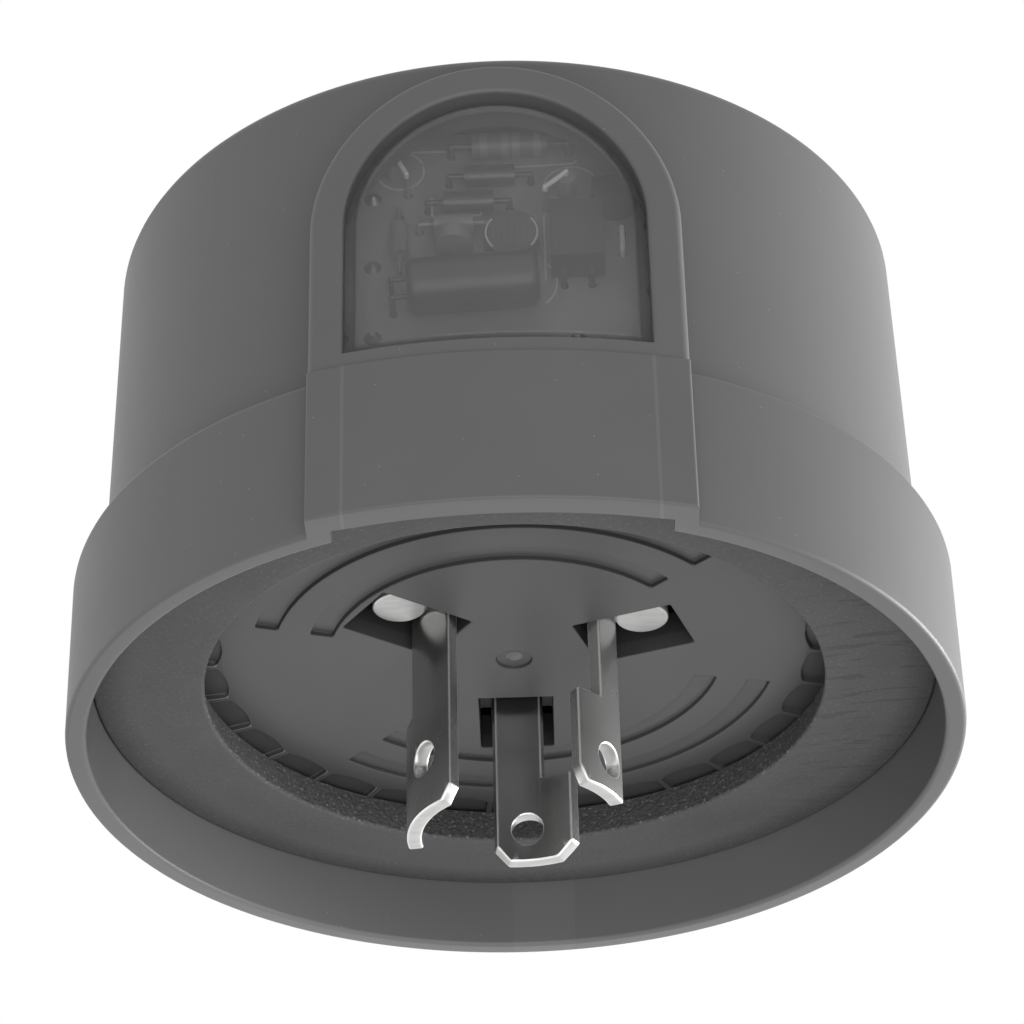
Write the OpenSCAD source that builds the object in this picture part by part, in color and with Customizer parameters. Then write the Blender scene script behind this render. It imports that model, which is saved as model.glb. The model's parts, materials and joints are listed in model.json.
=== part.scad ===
// Three-blade twist-lock photocontrol: a light-operated switch that plugs into a luminaire.
// The origin is at the centre of the sealing face of the gasket. Z points up, the blades point down
// and the window faces -Y. All sizes are in millimetres.

/* [Cover] */
// Outer radius of the skirt
skirt_r = 42; // [40:0.5:46]
// Wall of the skirt
skirt_wall = 2; // [1.6:0.1:2.6]
// How far the rim reaches below the gasket's sealing face
rim_drop = 7.1; // [5:0.1:9]
// Height of the skirt's upper edge above the sealing face
skirt_top = 8.9; // [8.7:0.1:12]
// How far the body stands in from the skirt, at the foot of the body
body_step = 2.8; // [2:0.1:3.4]
// Draft of the body from foot to top
body_draft = 0.45; // [0:0.05:1]
// Wall of the body
body_wall = 2.2; // [1.6:0.1:2.6]
// Height of the cover's top above the sealing face
cover_top = 45.4; // [45:0.1:52]
// Thickness of the cover's top
top_wall = 2.2; // [1.6:0.1:2.6]
// Rounding of the cover's top edge
top_round = 1.4; // [0.6:0.1:2]
// Rounding of the skirt's upper edge
step_round = 0.7; // [0.3:0.1:1]
// Rounding of the rim's edges
rim_round = 0.45; // [0.2:0.05:0.7]

/* [Window boss] */
// Width of the boss
boss_w = 33; // [31.6:0.2:36]
// How far the boss stands out from the skirt at its middle
boss_proud = 1.25; // [0.8:0.05:2.5]
// Radius of the boss's gently curved face
boss_face_r = 58; // [50:1:80]
// Height of the centre of the arch
arch_z = 23.85; // [22:0.05:24.2]
// Width of the window opening
window_w = 26.8; // [24:0.2:27.2]
// Height of the window's sill
sill_z = 9.9; // [9.7:0.1:13]
// Thickness of the boss's face
boss_wall = 2; // [1.6:0.1:2.4]
// Side wall of the boss's hollow at the rim
boss_side = 2; // [1.5:0.1:2.6]
// How far the panel below the window stands out from the frame
panel_proud = 0.35; // [0.1:0.05:0.6]
// How much wider the panel is than the frame, at each side
panel_side = 0.05; // [0.05:0.05:0.6]
// Height of the upper edge of that panel
panel_top = 8.2; // [6:0.1:9]

/* [Lens] */
// Thickness of the lens
lens_t = 2; // [1.5:0.1:2.5]
// How far the lens laps behind the frame
lens_lap = 1.2; // [0.8:0.1:1.3]
// Clearance round the lens in its pocket
lens_fit = 0.15; // [0.05:0.05:0.25]
// Thickness of the shelf under the lens
lens_shelf = 1.4; // [1:0.1:1.6]
// Gap between the raised pane of the lens and the frame
pane_gap = 0.8; // [0.4:0.1:1.2]
// How far the pane stands out into the opening
pane_rise = 1.2; // [0.6:0.1:1.7]

/* [Base plate] */
// Thickness of the base plate
plate_t = 3.9; // [3.4:0.1:4.2]
// Clearance between the base plate and the skirt
base_fit = 0.2; // [0.1:0.05:0.3]
// Number of pockets in the ring along the gasket
pockets = 30; // [20:1:36]
// Depth of a pocket
pocket_depth = 1.3; // [0.6:0.1:2]
// Distance from the axis to the middle of a pocket's rounded inner end
pocket_in = 27.8; // [26.6:0.1:28.6]
// How much further out the corners of that end are
pocket_bulge = 0.75; // [0.5:0.05:1.2]
// Width of the ribs between the pockets
rib_w = 0.5; // [0.4:0.1:1.2]
// Depth of the arc grooves
groove_depth = 0.5; // [0.3:0.1:0.8]
// Inner radius of the inner arc groove
groove_in = 17.7; // [17.4:0.1:18.4]
// Inner radius of the outer arc groove
groove_out = 23; // [21.5:0.1:24.5]
// Width of the arc grooves
groove_w = 2.2; // [1.6:0.1:2.4]

/* [Gasket] */
// Thickness of the foam ring at its flat sealing face
gasket_t = 3.3; // [2.8:0.1:3.8]
// Inner radius of the foam ring where it lies on the base plate
gasket_in = 30.4; // [29.8:0.1:31]
// Inner radius of the flat sealing face
seal_in = 35; // [33:0.5:37]
// How far the inner lip stands below the sealing face
lip_drop = 0.6; // [0.2:0.1:1]
// How far the inner lip leans towards the axis
lip_lean = 1.1; // [0.2:0.1:1.4]

/* [Blades] */
// Outer radius of the blades
blade_r = 10.3; // [9.9:0.1:10.8]
// Thickness of the blades
blade_t = 1.4; // [1.2:0.05:1.5]
// How far the neutral blade reaches below the sealing face
neutral_reach = 15.9; // [14:0.1:18]
// How far the line blade reaches below the sealing face
line_reach = 14.4; // [13:0.1:16]
// How far the load blade reaches below the sealing face
load_reach = 13.6; // [13:0.1:16]
// How far below the sealing face the locking notch ends
notch_drop = 4.7; // [4:0.1:6]
// Diameter of the hole in each blade
blade_hole = 3.2; // [2.4:0.1:3.4]
// Diameter of the round lug at a blade's root
lug_d = 5; // [4.6:0.1:5.3]
// Distance of the lug's middle from the axis
lug_at = 12.95; // [12.7:0.05:13.3]
// How deep the lug lies in its slot
lug_depth = 1.5; // [1.2:0.05:2.1]
// Width of a slot
slot_w = 7.2; // [7:0.1:8]
// Distance of a slot's inner end from the axis
slot_in = 7.2; // [6.4:0.1:7.6]
// Distance of a slot's outer end from the axis
slot_out = 16.9; // [16.6:0.1:17.2]

/* [Circuit board] */
// Width of the board
board_w = 35; // [32:0.5:35.5]
// Height of the board
board_h = 34.2; // [33:0.1:34.5]
// Thickness of the board
board_t = 1.6; // [1.2:0.1:2]
// Gap from the middle of the lens back to the board
board_gap = 8.25; // [7.8:0.05:10]
// Diameter of the component leads
lead_d = 0.5; // [0.4:0.05:0.7]
// Diameter of the insulated wires
wire_d = 1.8; // [1.4:0.1:2.2]

/* [Hidden] */
$fn = 64;
// A little extra length for cutters
over = 1;

// Cover: derived radii and heights
rim_z = -rim_drop;
skirt_in = skirt_r - skirt_wall;
body_foot = skirt_r - body_step;
body_head = body_foot - body_draft;
body_in_foot = body_foot - body_wall;
body_in_head = body_head - body_wall;
base_face = gasket_t;
ledge_z = base_face + plate_t;
ceiling_z = cover_top - top_wall;
corner_fillet = 0.6;

// Window boss: the face is part of a large upright cylinder
boss_face = skirt_r + boss_proud;
boss_axis_y = boss_face_r - boss_face;
lens_foot = ledge_z + lens_shelf;
// The boss is cut from a block that starts inside the body and ends in front of it
boss_start = body_in_foot / 2;
boss_end = skirt_r + boss_face_r;

// Lens: its front lies on the back of the frame
lens_front_r = boss_face_r - boss_wall;
lens_back_r = lens_front_r - lens_t;
lens_half = window_w / 2 + lens_lap;

// Base plate, and the pockets in its face: part of a circle at the inner end, ribs at the sides
plate_r = skirt_in - base_fit;
pitch = 360 / pockets;
corner_r = pocket_in + pocket_bulge;
pocket_half = corner_r * sin(pitch / 2);
pocket_rise = corner_r * cos(pitch / 2) - pocket_in;
pocket_round = (pow(pocket_half, 2) + pow(pocket_rise, 2)) / (2 * pocket_rise);
pocket_out = gasket_in + 1.2;
pocket_sweep = pitch - rib_w / pocket_in * 180 / PI;
// Turn of the first rib
rib_turn = 0.7;
// Start and sweep of the near and the far pair of arc grooves
groove_arcs = [[197, 120.4], [13, 120]];
dimple_d = 3.4;
dimple_depth = 0.4;
nub_r = 1;
nub_h = 0.35;

// Snap hooks on the base plate and the catches that they hold on the cover
hook_turns = [25, 155, 200, 340];
hook_w = 7;
hook_t = 1.8;
hook_play = 0.3;
catch_reach = 1.5;
catch_rise = 3.1;
catch_foot = ledge_z + 3.8;
catch_top = catch_foot + catch_rise;
catch_in = body_in_head - catch_reach;
hook_out = catch_in - hook_play;
barb_out = body_in_head - hook_play;
barb_h = 2.3;
barb_gap = 0.2;

// Blades: each one goes up into its slot and ends in a round lug, which is folded up and over a bridge
blade_in = blade_r - blade_t;
lug_under = base_face + lug_depth;
lug_top = lug_under + blade_t;
neck_w = 1.4;
bridge_t = 1.45;
bridge_w = 2.3;
bridge_play = 0.15;
bridge_lap = 1.5;
fold_t = 1.2;
fold_w = 1.8;
fold_out = lug_at + lug_d / 2 - 0.2;
bridge_out = fold_out - fold_t - bridge_play;
bridge_in = bridge_out - bridge_w;
fold_under = lug_top + bridge_t;
fold_top = fold_under + fold_t;
slot_play = 0.15;
// Turn from a slot's middle to a blade edge that runs along the slot's side
edge_turn = asin((slot_w / 2 - slot_play) / blade_r);
// Each blade: turn of its slot, where its root starts, where it ends, where its wide part starts, its
// reach below the sealing face, turn and drop of its hole, and the corner cuts at its end and at its
// start, each as [width, height]
neutral_turn = 215.5;
line_turn = 341;
load_turn = 90.6;
neutral = [neutral_turn, 201.8, neutral_turn + edge_turn, 171, neutral_reach, 213.9, 10.4, [1, 1.4], []];
line = [line_turn, line_turn - edge_turn, 342, 305, line_reach, 328.1, 11, [], [0.8, 1.6]];
load = [load_turn, 75.8, 104.2, 56.4, load_reach, 85.4, 10.2, [1.3, 1.5], [1.7, 1.4]];

// Circuit board: its front and back planes and its seat on the base
board_front = boss_axis_y - lens_back_r + board_gap;
board_back = board_front + board_t;
board_foot = ledge_z + 1;
post_x = 11.5;
post_w = 4;
post_t = 2;
post_h = 7.8;
post_fit = 0.1;
hole_d = lead_d + 0.3;
joint_d = lead_d + 1.1;
joint_h = 0.7;
rear_gap = 1.2;

// Where the wires meet the board along X, how high above its foot, and their straight run to it
wire_rows = [-6.5, 6, 0];
wire_rise = 4.4;
wire_run = 4;
wire_z = board_foot + wire_rise;
core_d = lead_d + 0.2;
// How much fuller the insulation is at a bend
bend_fullness = 0.1;

// Components on the front: place on the board as x, and height above the board's foot
body_gap = 0.3;
sensor_at = [1.3, 20.7];
sensor_d = 5.1;
sensor_h = 2.2;
sensor_pitch = 2.5;
can_at = [-2.3, 14.8];
can_d = 5.2;
can_l = 12;
can_pitch = 2;
can_round = 0.8;
can_run = 1.4;
can_turn = 3.3;
chip_at = [7.25, 19.8];
chip_w = 4.9;
chip_h = 6.4;
chip_t = 3.4;
chip_gap = 0.5;
chip_pitch = [2.54, 7.62];
chip_shoulder = 1.2;
diode_rows = [[-0.6, 28.1], [-2.6, 25.1]];
diode_span = 7.6;
diode_d = 2;
diode_l = 4.6;
resistor_at = [-4, 22.7];
resistor_span = 6.4;
resistor_d = 1.8;
resistor_l = 3.6;
standing_at = [[-8.8, 28.2], [5.5, 25.8]];
standing_span = 2.6;
standing_turns = [-64, 41];
standing_sides = [-0.5, 0.5];
standing_h = 3.3;
standing_l = 2.4;
power_at = [1.3, 31.5];
power_span = 11;
power_d = 2.4;
power_l = 7;
disc_at = [-4, 19.8];
disc_d = 3.6;
disc_t = 1.5;
disc_pitch = 2.5;
disc_rise = 2.4;
zener_at = [-9, 21];
zener_span = 7;
zener_d = 1.7;
zener_l = 3.4;
link_at = [11.4, 20.5];
link_span = 2.4;
link_h = 1;
transistor_at = [10.9, 25.2];
transistor_pitch = 1.27;
transistor_d = 4.4;
transistor_h = 2.5;
transistor_flat = 1.2;
transistor_gap = 0.4;

// Components on the back
box_round = 0.8;
relay_at = [-8.5, 18.8];
relay_size = [15.5, 20, 15];
relay_pins = [[-6, -8], [-6, 8], [-3, -8], [-3, 8], [-3, 0]];
film_at = [7, 17.3];
film_size = [8, 18, 13];
film_pitch = 15;
varistor_at = [14.2, 18.8];
varistor_d = 12;
varistor_t = 4.2;
varistor_pitch = 7.5;
varistor_round = 1;
varistor_sink = 2;

function polar(r, a) = [r * cos(a), r * sin(a)];
function pair_x(at, span) = [[at[0] - span / 2, at[1]], [at[0] + span / 2, at[1]]];
function pair_on(at, span, turn) = [for (s = [-0.5, 0.5]) at + s * span * polar(1, turn)];
function pair_y(at, span) = [[at[0], at[1] - span / 2], [at[0], at[1] + span / 2]];

// Leads of each component, as [x, height above the board's foot]
can_leads = pair_on(can_at - (can_l / 2 + can_run) * polar(1, can_turn), can_pitch, can_turn + 90);
chip_leads = [for (sx = [-0.5, 0.5], sy = [-0.5, 0.5])
              [chip_at[0] + sx * chip_pitch[0], chip_at[1] + sy * chip_pitch[1]]];
disc_leads = pair_x(disc_at, disc_pitch);
transistor_leads = [for (i = [-1:1]) [transistor_at[0] + i * transistor_pitch, transistor_at[1]]];
relay_leads = [for (p = relay_pins) relay_at + p];
film_leads = pair_y(film_at, film_pitch);
varistor_leads = pair_y(varistor_at, varistor_pitch);
wire_leads = [for (x = wire_rows) [x, wire_rise]];
front_leads = concat(pair_x(sensor_at, sensor_pitch), can_leads, chip_leads,
                     [for (at = diode_rows) each pair_x(at, diode_span)],
                     pair_x(resistor_at, resistor_span), pair_x(power_at, power_span),
                     [for (i = [0, 1]) each pair_on(standing_at[i], standing_span, standing_turns[i])],
                     disc_leads, pair_y(zener_at, zener_span), pair_y(link_at, link_span),
                     transistor_leads);
rear_leads = concat(relay_leads, film_leads, varistor_leads, wire_leads);

// Cover

// A bar from the axis to radius r and from z0 to z1, with its two outer corners rounded
module rounded_bar(r, z0, z1, round0, round1) {
    translate([0, z0])
        square([r - round0, z1 - z0 - round1]);
    translate([0, z0 + round0])
        square([r - round1, z1 - z0 - round0]);
    translate([0, z0 + round0])
        square([r, z1 - z0 - round0 - round1]);
    translate([r - round0, z0 + round0])
        circle(r = round0);
    translate([r - round1, z1 - round1])
        circle(r = round1);
}

module body_profile() {
    rounded_bar(skirt_r, rim_z, skirt_top, rim_round, step_round);
    polygon([[0, rim_z + over], [body_foot, rim_z + over], [body_foot, skirt_top],
             [body_head, cover_top - top_round], [body_head - top_round, cover_top], [0, cover_top]]);
    translate([body_head - top_round, cover_top - top_round])
        circle(r = top_round);
    // Fillet where the body meets the top of the skirt
    difference() {
        translate([body_foot - over, skirt_top - over])
            square([corner_fillet + over, corner_fillet + over]);
        translate([body_foot + corner_fillet, skirt_top + corner_fillet])
            circle(r = corner_fillet);
    }
}

module cavity_profile() {
    translate([0, rim_z - over])
        square([skirt_in, ledge_z - rim_z + over]);
    // Rounded inner edge of the rim
    difference() {
        translate([skirt_in - over, rim_z - over])
            square([over + rim_round, over + rim_round]);
        translate([skirt_in + rim_round, rim_z + rim_round])
            circle(r = rim_round);
    }
    polygon([[0, ledge_z - over], [body_in_foot, ledge_z - over], [body_in_foot, skirt_top],
             [body_in_head, ceiling_z], [0, ceiling_z]]);
}

// Arch outline in X and Z, from height z0 up to a round head
module arch(half, z0) {
    translate([-half, z0])
        square([2 * half, arch_z - z0]);
    translate([0, arch_z])
        circle(r = half, $fn = 96);
}

// A block with that outline, from inside the body out to a face of radius r
module arch_block(half, z0, r) {
    intersection() {
        rotate([90, 0, 0])
            translate([0, 0, boss_start])
                linear_extrude(boss_end - boss_start)
                    arch(half, z0);
        translate([0, boss_axis_y, z0])
            cylinder(r = r, h = cover_top - z0, $fn = 128);
    }
}

// A block with straight sides between two heights, out to a face of radius r
module panel_block(half, z0, z1, r) {
    intersection() {
        translate([-half, -boss_end, z0])
            cube([2 * half, boss_end - boss_start, z1 - z0]);
        translate([0, boss_axis_y, z0])
            cylinder(r = r, h = z1 - z0, $fn = 128);
    }
}

module snap_catches() {
    intersection() {
        for (a = hook_turns)
            rotate([0, 0, a])
                translate([catch_in, -hook_w / 2, catch_foot])
                    cube([body_foot - catch_in, hook_w, catch_rise]);
        // Keeps the roots of the catches inside the wall
        cylinder(r = body_head - body_wall / 2, h = cover_top);
    }
}

module cover() {
    color("dimgray") {
        difference() {
            union() {
                rotate_extrude($fn = 128)
                    body_profile();
                arch_block(boss_w / 2, rim_z, boss_face_r);
                panel_block(boss_w / 2 + panel_side, rim_z, panel_top, boss_face_r + panel_proud);
            }
            rotate_extrude($fn = 128)
                cavity_profile();
            panel_block(boss_w / 2 - boss_side, rim_z - over, ledge_z, lens_front_r);
            arch_block(lens_half + lens_fit, lens_foot, lens_front_r);
            arch_block(window_w / 2, sill_z, boss_face_r + over);
        }
        snap_catches();
    }
}

// Lens

module window_lens() {
    color("gainsboro", 0.4)
        difference() {
            union() {
                arch_block(lens_half, lens_foot, lens_front_r);
                arch_block(window_w / 2 - pane_gap, sill_z + pane_gap, lens_front_r + pane_rise);
            }
            translate([0, boss_axis_y, lens_foot - over])
                cylinder(r = lens_back_r, h = cover_top, $fn = 128);
        }
}

// Base plate

// Pocket on the X axis, with a rounded inner end and radial sides
module pocket() {
    intersection() {
        translate([pocket_in + pocket_round, 0, base_face - over])
            cylinder(r = pocket_round, h = pocket_depth + over);
        rotate([0, 0, -pocket_sweep / 2])
            rotate_extrude(angle = pocket_sweep, $fn = 128)
                translate([pocket_in - over, base_face - over])
                    square([pocket_out - pocket_in + over, pocket_depth + over]);
    }
}

module arc_grooves() {
    for (arc = groove_arcs, r = [groove_in, groove_out])
        rotate([0, 0, arc[0]])
            rotate_extrude(angle = arc[1], $fn = 128)
                translate([r, base_face - over])
                    square([groove_w, groove_depth + over]);
}

module slot(blade) {
    rotate([0, 0, blade[0]])
        translate([slot_in, -slot_w / 2, base_face - over])
            cube([slot_out - slot_in, slot_w, ledge_z - base_face + 2 * over]);
}

// Bridge across the slot, above the blade's lug
module bridge(blade) {
    half = slot_w / 2 + bridge_lap;
    rotate([0, 0, blade[0]])
        translate([bridge_in, -half, lug_top])
            cube([bridge_w, 2 * half, bridge_t]);
}

module snap_hook() {
    translate([hook_out - hook_t, -hook_w / 2, ledge_z - over])
        cube([hook_t, hook_w, catch_top + barb_gap + barb_h - ledge_z + over]);
    // Barb with a sloping back that leads it past the catch
    translate([hook_out, hook_w / 2, catch_top + barb_gap])
        rotate([90, 0, 0])
            linear_extrude(hook_w)
                polygon([[-over, 0], [barb_out - hook_out, 0], [0, barb_h], [-over, barb_h]]);
}

// Slotted post that holds one side of the board
module board_post(x) {
    difference() {
        translate([x - post_w / 2, board_front - post_t, ledge_z - over])
            cube([post_w, board_t + 2 * post_t, post_h + over]);
        translate([x - post_w, board_front - post_fit, board_foot])
            cube([2 * post_w, board_t + 2 * post_fit, post_h]);
    }
}

module base_plate() {
    color("gray") {
        difference() {
            translate([0, 0, base_face])
                cylinder(r = plate_r, h = plate_t, $fn = 128);
            for (i = [0:pockets - 1])
                rotate([0, 0, rib_turn + (i + 0.5) * pitch])
                    pocket();
            arc_grooves();
            for (blade = [neutral, line, load])
                slot(blade);
            translate([0, 0, base_face - over])
                cylinder(d = dimple_d, h = dimple_depth + over);
        }
        translate([0, 0, base_face + dimple_depth - nub_h + nub_r])
            sphere(r = nub_r);
        for (blade = [neutral, line, load])
            bridge(blade);
        for (a = hook_turns)
            rotate([0, 0, a])
                snap_hook();
        for (x = [-post_x, post_x])
            board_post(x);
    }
}

// Gasket

module gasket() {
    color("darkgray")
        rotate_extrude($fn = 128)
            polygon([[gasket_in, gasket_t], [gasket_in - lip_lean, -lip_drop], [seal_in, 0], [plate_r, 0],
                     [plate_r, gasket_t]]);
}

// Blades

// Part of a ring of the blade's own radius and thickness
module blade_arc(from, to, z0, z1) {
    rotate([0, 0, from])
        rotate_extrude(angle = to - from, $fn = 128)
            translate([blade_in, z0])
                square([blade_t, z1 - z0]);
}

// Locking notch that leaves only the narrow root of the blade
module notch(blade) {
    rotate([0, 0, blade[3] - over])
        rotate_extrude(angle = blade[1] - blade[3] + over, $fn = 128)
            translate([blade_in - over, -notch_drop])
                square([blade_t + 2 * over, notch_drop + lug_top + over]);
}

// Corner cut at one end of the tip, with the blade's own metal towards the given side. The cutter is a
// triangle three times the size of the corner, so that it runs past the blade all round.
module tip_corner(a, tip, side, cut) {
    if (len(cut) > 0)
        rotate([0, 0, a])
            translate([blade_in - over, 0, tip])
                rotate([90, 0, 90])
                    linear_extrude(blade_t + 2 * over)
                        polygon([[2 * side * cut[0], -cut[1]], [-side * cut[0], 2 * cut[1]],
                                 [-side * cut[0], -cut[1]]]);
}

// Round lug turned outwards from the blade's root, with a narrow strip folded up and over the bridge
module lug(blade) {
    rotate([0, 0, blade[0]]) {
        translate([(blade_in + blade_r) / 2, -neck_w / 2, lug_under])
            cube([lug_at - (blade_in + blade_r) / 2, neck_w, blade_t]);
        translate([lug_at, 0, lug_under])
            cylinder(d = lug_d, h = blade_t);
        translate([fold_out - fold_t, -fold_w / 2, lug_under])
            cube([fold_t, fold_w, fold_top - lug_under]);
        translate([bridge_in, -fold_w / 2, fold_under])
            cube([fold_out - bridge_in, fold_w, fold_t]);
    }
}

module blade(blade) {
    tip = -blade[4];
    color("silver")
        difference() {
            union() {
                blade_arc(blade[3], blade[2], tip, lug_top);
                lug(blade);
            }
            notch(blade);
            tip_corner(blade[2], tip, -1, blade[7]);
            tip_corner(blade[3], tip, 1, blade[8]);
            rotate([0, 0, blade[5]])
                translate([blade_in - over, 0, -blade[6]])
                    rotate([0, 90, 0])
                        cylinder(d = blade_hole, h = blade_t + 2 * over);
        }
}

module neutral_blade() {
    blade(neutral);
}

module line_blade() {
    blade(line);
}

module load_blade() {
    blade(load);
}

// Circuit board

// Places children on the front of the board, with their own Z pointing to the window
module on_front(at) {
    translate([at[0], board_front, board_foot + at[1]])
        rotate([90, 0, 0])
            children();
}

// Places children on the back of the board, with their own Z pointing away from the window
module on_back(at) {
    translate([at[0], board_back, board_foot + at[1]])
        rotate([90, 0, 180])
            children();
}

// A lead from the far side of the board up to height h
module lead(h) {
    translate([0, 0, -board_t])
        cylinder(d = lead_d, h = board_t + h, $fn = 24);
}

// Two leads along X with a straight run between their tops at height h
module lead_bridge(span, h) {
    for (s = [-1, 1])
        translate([s * span / 2, 0, 0]) {
            lead(h);
            translate([0, 0, h])
                sphere(d = lead_d, $fn = 24);
        }
    translate([-span / 2, 0, h])
        rotate([0, 90, 0])
            cylinder(d = lead_d, h = span, $fn = 24);
}

// A component with a round body along X between two leads
module axial(span, body_d, body_l, gap) {
    lead_bridge(span, gap + body_d / 2);
    translate([-body_l / 2, 0, gap + body_d / 2])
        rotate([0, 90, 0])
            cylinder(d = body_d, h = body_l, $fn = 32);
}

module circuit_board() {
    color("darkolivegreen")
        difference() {
            translate([-board_w / 2, board_front, board_foot])
                cube([board_w, board_t, board_h]);
            for (at = concat(front_leads, rear_leads))
                on_front(at)
                    translate([0, 0, -board_t - over])
                        cylinder(d = hole_d, h = board_t + 2 * over, $fn = 24);
        }
}

module photo_sensor() {
    color("tan")
        on_front(sensor_at) {
            cylinder(d = sensor_d, h = sensor_h);
            for (s = [-0.5, 0.5])
                translate([s * sensor_pitch, 0, 0])
                    lead(over);
        }
}

module smoothing_capacitor() {
    lead_x = -can_l / 2 - can_run;
    color("black")
        on_front(can_at)
            rotate([0, 0, can_turn]) {
                translate([-can_l / 2, 0, can_d / 2])
                    rotate([0, 90, 0])
                        rotate_extrude()
                            rounded_bar(can_d / 2, 0, can_l, can_round, can_round);
                for (s = [-0.5, 0.5])
                    translate([lead_x, s * can_pitch, 0]) {
                        lead(can_d / 2);
                        translate([0, 0, can_d / 2])
                            sphere(d = lead_d, $fn = 24);
                        translate([0, 0, can_d / 2])
                            rotate([0, 90, 0])
                                cylinder(d = lead_d, h = can_run + over, $fn = 24);
                    }
            }
}

module opto_coupler() {
    leg = chip_gap + chip_t / 2;
    color("black")
        on_front(chip_at) {
            translate([-chip_w / 2, -chip_h / 2, chip_gap])
                cube([chip_w, chip_h, chip_t]);
            for (sx = [-0.5, 0.5], sy = [-0.5, 0.5])
                translate([sx * chip_pitch[0], sy * chip_pitch[1], 0]) {
                    lead(leg);
                    // Shoulder that joins the leg to the side of the body
                    translate([-lead_d / 2, sy > 0 ? -chip_shoulder : -lead_d / 2, leg - lead_d])
                        cube([lead_d, chip_shoulder + lead_d / 2, lead_d]);
                }
        }
}

module rectifier_diodes() {
    color("dimgray")
        for (at = diode_rows)
            on_front(at)
                axial(diode_span, diode_d, diode_l, body_gap);
}

module bias_resistors() {
    color("burlywood") {
        on_front(resistor_at)
            axial(resistor_span, resistor_d, resistor_l, body_gap);
        for (i = [0, 1])
            on_front(standing_at[i])
                rotate([0, 0, standing_turns[i]]) {
                    lead_bridge(standing_span, standing_h);
                    translate([standing_sides[i] * standing_span, 0, body_gap])
                        cylinder(d = resistor_d, h = standing_l, $fn = 32);
                }
    }
}

module delay_capacitor() {
    color("sandybrown")
        on_front(disc_at) {
            translate([0, disc_t / 2, disc_rise])
                rotate([90, 0, 0])
                    cylinder(d = disc_d, h = disc_t, $fn = 32);
            for (s = [-0.5, 0.5])
                translate([s * disc_pitch, 0, 0])
                    lead(disc_rise);
        }
}

module zener_diode() {
    color("darkred")
        on_front(zener_at)
            rotate([0, 0, 90])
                axial(zener_span, zener_d, zener_l, body_gap);
}

module jumper_wire() {
    color("silver")
        on_front(link_at)
            rotate([0, 0, 90])
                lead_bridge(link_span, link_h);
}

module switching_transistor() {
    color("black")
        on_front(transistor_at) {
            translate([0, 0, transistor_gap])
                difference() {
                    cylinder(d = transistor_d, h = transistor_h, $fn = 32);
                    translate([-transistor_d, transistor_flat, -over])
                        cube([2 * transistor_d, transistor_d, transistor_h + 2 * over]);
                }
            for (i = [-1:1])
                translate([i * transistor_pitch, 0, 0])
                    lead(over);
        }
}

// A box with rounded upright edges, standing off the board
module boxed_part(size, round) {
    translate([-size[0] / 2 + round, -size[1] / 2, rear_gap])
        cube([size[0] - 2 * round, size[1], size[2]]);
    translate([-size[0] / 2, -size[1] / 2 + round, rear_gap])
        cube([size[0], size[1] - 2 * round, size[2]]);
    for (sx = [-1, 1], sy = [-1, 1])
        translate([sx * (size[0] / 2 - round), sy * (size[1] / 2 - round), rear_gap])
            cylinder(r = round, h = size[2], $fn = 32);
}

module relay() {
    color("steelblue") {
        on_back(relay_at)
            boxed_part(relay_size, box_round);
        for (at = relay_leads)
            on_back(at)
                lead(rear_gap + over);
    }
}

module dropper_capacitor() {
    color("goldenrod") {
        on_back(film_at)
            boxed_part(film_size, box_round);
        for (at = film_leads)
            on_back(at)
                lead(rear_gap + over);
    }
}

module dropper_resistor() {
    color("darkkhaki")
        on_front(power_at)
            axial(power_span, power_d, power_l, body_gap);
}

module surge_varistor() {
    color("royalblue") {
        on_back(varistor_at)
            translate([-varistor_t / 2, 0, rear_gap + varistor_d / 2])
                rotate([0, 90, 0])
                    rotate_extrude()
                        rounded_bar(varistor_d / 2, 0, varistor_t, varistor_round, varistor_round);
        for (at = varistor_leads)
            on_back(at)
                lead(rear_gap + varistor_sink);
    }
}

// Wire from the fold of a blade up and across to the board, with its bare end in the board's hole
module wire(blade, row) {
    fold = polar((bridge_in + bridge_out) / 2, blade[0]);
    start = [fold[0], fold[1], fold_top];
    corner = [fold[0], fold[1], wire_z];
    end = [wire_rows[row], board_back, wire_z];
    turn = [wire_rows[row], board_back + wire_run, wire_z];
    translate(start)
        cylinder(d = wire_d, h = corner[2] - start[2], $fn = 24);
    rod(corner, turn);
    rod(turn, end);
    for (p = [corner, turn])
        translate(p)
            sphere(d = wire_d + bend_fullness, $fn = 24);
    translate(end)
        rotate([90, 0, 0])
            translate([0, 0, -over])
                cylinder(d = core_d, h = board_t + over, $fn = 24);
}

// A round rod between two points
module rod(a, b) {
    way = b - a;
    run = norm([way[0], way[1]]);
    translate(a)
        rotate([0, atan2(run, way[2]), atan2(way[1], way[0])])
            cylinder(d = wire_d, h = norm(way), $fn = 24);
}

module neutral_wire() {
    color("white")
        wire(neutral, 0);
}

module line_wire() {
    color("black")
        wire(line, 1);
}

module load_wire() {
    color("red")
        wire(load, 2);
}

// Low rounded joint over the end of each lead
module joint() {
    cylinder(d1 = joint_d, d2 = lead_d, h = joint_h, $fn = 24);
}

module solder_joints() {
    color("silver") {
        for (at = front_leads)
            on_back(at)
                joint();
        for (at = rear_leads)
            on_front(at)
                joint();
    }
}

cover();
window_lens();
base_plate();
gasket();
neutral_blade();
line_blade();
load_blade();
circuit_board();
photo_sensor();
smoothing_capacitor();
opto_coupler();
rectifier_diodes();
bias_resistors();
delay_capacitor();
zener_diode();
jumper_wire();
switching_transistor();
relay();
dropper_capacitor();
dropper_resistor();
surge_varistor();
neutral_wire();
line_wire();
load_wire();
solder_joints();
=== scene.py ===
"""Dresses the plug-in photocell switch: moulded cover, clear window, base with its ring of pockets,
foam ring, twist-lock blades and the circuit board behind the window."""

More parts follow.
